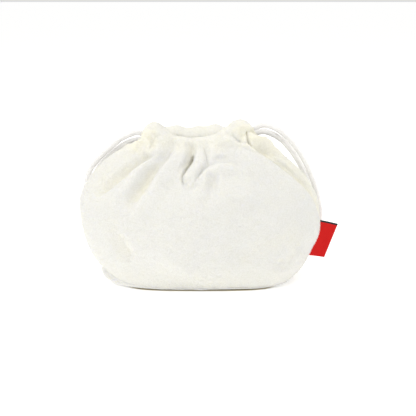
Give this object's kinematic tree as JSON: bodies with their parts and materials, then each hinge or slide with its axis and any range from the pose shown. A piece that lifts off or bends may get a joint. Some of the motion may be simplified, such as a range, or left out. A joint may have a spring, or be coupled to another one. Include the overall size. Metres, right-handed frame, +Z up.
{
  "type": "drawstring pouch",
  "caption": "Soft cream fleece drawstring pouch standing full, its neck gathered in a casing with braided pull cords, a curled base seam and a small red label in the side seam.",
  "frame": {"origin": "middle of the flat underside of the base", "axes": "+Z up, the front of the pouch faces -Y, the label side is +X"},
  "size_m": [0.2321, 0.1319, 0.1459],
  "materials": {
    "fleece": "short soft pile",
    "cord": "braided",
    "label": "woven satin"
  },
  "bodies": {
    "root": {"base_panel": "fleece", "front_panel": "fleece", "back_panel": "fleece", "side_label": "label", "left_cord_front": "cord", "left_cord_back": "cord", "right_cord_front": "cord", "right_cord_back": "cord", "left_knot": "cord", "right_knot": "cord"}
  },
  "joints": []
}
